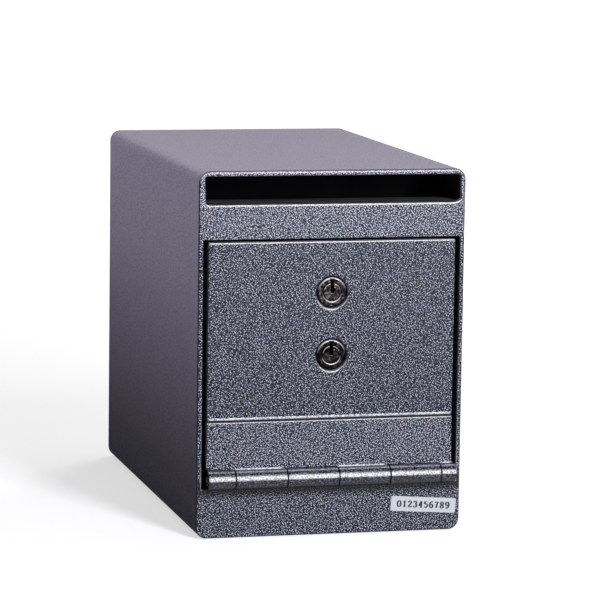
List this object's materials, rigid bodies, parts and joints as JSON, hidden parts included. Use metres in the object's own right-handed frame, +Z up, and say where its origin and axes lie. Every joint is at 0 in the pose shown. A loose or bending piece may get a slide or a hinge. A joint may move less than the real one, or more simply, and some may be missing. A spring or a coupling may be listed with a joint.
{
  "type": "drop safe",
  "caption": "Small under-counter steel drop safe: open deposit slot with a chute over a bottom-hinged door, and two key locks that each raise a sliding bolt.",
  "frame": {"origin": "on the ground, in the middle of the whole outline: midway between the cabinet's sides, and midway between the hinge barrel's front and the cabinet's back", "axes": "+X to the right seen from the front, +Y from the front to the back, +Z up; the door faces -Y"},
  "size_m": [0.1524, 0.2622, 0.205],
  "materials": {
    "hammertone_paint": "grey hammertone enamel, semi-gloss",
    "inner_paint": "dark overspray, satin",
    "lock_nickel": "dark nickel plate, worn",
    "zinc_steel": "zinc plate",
    "bare_steel": "bare cold-rolled steel",
    "label_paper": "matt white label with dark plain digits"
  },
  "bodies": {
    "cabinet": {"body_shell": "hammertone_paint", "back_panel": "hammertone_paint", "upper_fascia": "hammertone_paint", "strike_channel": "inner_paint", "deposit_chute": "inner_paint", "anti_fish_baffle": "inner_paint", "door_stop_left": "inner_paint", "door_stop_right": "inner_paint", "hinge_frame_leaf": "hammertone_paint", "hinge_pin": "bare_steel", "serial_label": "label_paper"},
    "door": {"door_plate": "hammertone_paint", "hinge_door_leaf": "hammertone_paint", "door_backing_plate": "inner_paint", "bolt_rail_left": "zinc_steel", "bolt_rail_middle": "zinc_steel", "bolt_rail_right": "zinc_steel", "upper_lock_body": "lock_nickel", "lower_lock_body": "lock_nickel", "upper_lock_screw_left": "zinc_steel", "upper_lock_screw_right": "zinc_steel", "lower_lock_screw_left": "zinc_steel", "lower_lock_screw_right": "zinc_steel", "left_rail_screw_upper": "zinc_steel", "left_rail_screw_lower": "zinc_steel", "right_rail_screw_upper": "zinc_steel", "right_rail_screw_lower": "zinc_steel"},
    "upper_key_works": {"upper_lock_plug": "lock_nickel", "upper_lock_cam": "zinc_steel", "upper_cam_screw": "zinc_steel"},
    "lower_key_works": {"lower_lock_plug": "lock_nickel", "lower_lock_cam": "zinc_steel", "lower_cam_screw": "zinc_steel"},
    "upper_bolt_slider": {"upper_bolt": "bare_steel"},
    "lower_bolt_slider": {"lower_bolt": "bare_steel"}
  },
  "joints": [
    {"name": "door_hinge", "type": "hinge", "parent": "cabinet", "child": "door", "pos_m": [0, -0.12562, 0.03335], "axis": [1, 0, 0], "range_deg": [0, 104]},
    {"name": "upper_key_turn", "type": "hinge", "parent": "door", "child": "upper_key_works", "pos_m": [0, -0.12287, 0.13685], "axis": [0, 1, 0], "range_deg": [0, 90]},
    {"name": "lower_key_turn", "type": "hinge", "parent": "door", "child": "lower_key_works", "pos_m": [0, -0.12287, 0.10185], "axis": [0, 1, 0], "range_deg": [0, 90]},
    {"name": "upper_bolt_slide", "type": "slide", "parent": "door", "child": "upper_bolt_slider", "axis": [0, 0, 1], "range_m": [0, 0.01202]},
    {"name": "lower_bolt_slide", "type": "slide", "parent": "door", "child": "lower_bolt_slider", "axis": [0, 0, 1], "range_m": [0, 0.01202]}
  ],
  "couplings": [
    {"joint": "upper_key_turn", "follows": "upper_bolt_slide", "rad_per_m": 130.68},
    {"joint": "lower_key_turn", "follows": "lower_bolt_slide", "rad_per_m": 130.68}
  ]
}
